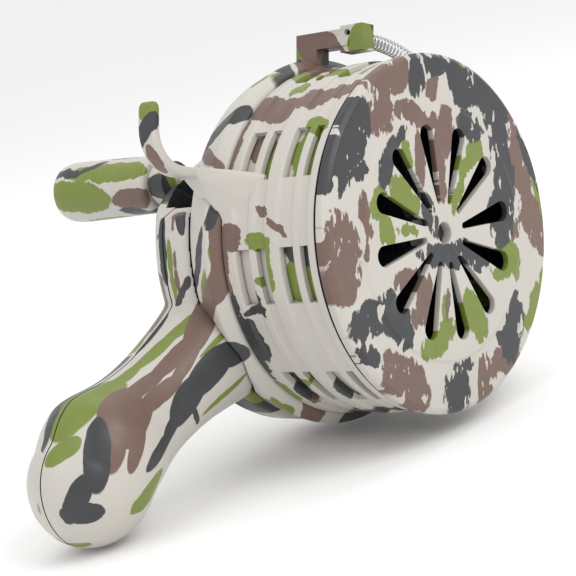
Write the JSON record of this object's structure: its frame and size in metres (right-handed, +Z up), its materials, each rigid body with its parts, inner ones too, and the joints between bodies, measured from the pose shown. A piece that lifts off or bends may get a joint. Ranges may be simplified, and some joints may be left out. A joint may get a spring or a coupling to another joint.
{
  "type": "hand crank siren",
  "caption": "Hand cranked air siren with a ported drum, a sprung shutter ring with a thumb hook, a pistol grip and a rear crank with a knob.",
  "frame": {"origin": "centre of the footprint, on the surface that the siren lies on", "axes": "+Z up, +Y along the rotor axis towards the crank, the grip points to -X"},
  "size_m": [0.183, 0.131, 0.1265],
  "materials": {
    "camo_cover": "satin film with a four colour camouflage print",
    "camo_drum": "satin film with a four colour camouflage print",
    "camo_shell": "satin film with a four colour camouflage print",
    "camo_ring": "satin film with a four colour camouflage print",
    "camo_knob": "satin film with a four colour camouflage print",
    "black_plastic": "moulded, slightly glossy",
    "nylon": "moulded nylon",
    "steel": "bright drawn steel",
    "brass": "turned brass bush"
  },
  "bodies": {
    "housing": {"front_cover": "camo_cover", "stator_drum": "camo_drum", "front_shell": "camo_shell", "middle_case": "camo_shell", "rear_case": "camo_shell", "front_bush": "brass", "rear_bush": "brass", "crank_bush": "brass", "idler_axle": "steel", "return_spring": "steel", "case_screw_1": "steel", "case_screw_2": "steel", "case_screw_3": "steel", "case_screw_4": "steel", "grip_screw_1": "steel", "grip_screw_2": "steel"},
    "shutter": {"shutter_ring": "camo_ring"},
    "rotor": {"rotor": "black_plastic", "rotor_shaft": "steel", "rotor_nut": "steel", "rotor_pinion": "nylon"},
    "idler": {"idler_wheel": "nylon", "idler_pinion": "nylon"},
    "crank": {"crank_arm": "camo_shell", "crank_wheel": "nylon", "crank_shaft": "steel", "crank_screw": "steel", "knob_pin": "steel"},
    "knob": {"crank_knob": "camo_knob", "knob_cap": "camo_knob"}
  },
  "joints": [
    {"name": "crank_spin", "type": "hinge", "parent": "housing", "child": "crank", "pos_m": [0.03328, -0.0655, 0.06077], "axis": [0, 1, 0], "continuous": true},
    {"name": "rotor_spin", "type": "hinge", "parent": "housing", "child": "rotor", "pos_m": [0.03328, -0.0655, 0.06077], "axis": [0, 1, 0], "continuous": true},
    {"name": "idler_spin", "type": "hinge", "parent": "housing", "child": "idler", "pos_m": [0.01124, -0.0035, 0.05127], "axis": [0, 1, 0], "continuous": true},
    {"name": "knob_spin", "type": "hinge", "parent": "crank", "child": "knob", "pos_m": [0.00738, 0.0445, 0.08993], "axis": [0, 1, 0], "continuous": true},
    {"name": "shutter_turn", "type": "hinge", "parent": "housing", "child": "shutter", "pos_m": [0.03328, -0.0655, 0.06077], "axis": [0, -1, 0], "range_deg": [0, 21.5], "stiffness_Nm_per_rad": 0.4, "springref_deg": -14.32, "deforming": ["return_spring"]}
  ],
  "couplings": [
    {"joint": "idler_spin", "follows": "crank_spin", "ratio": -3},
    {"joint": "rotor_spin", "follows": "crank_spin", "ratio": 9}
  ]
}
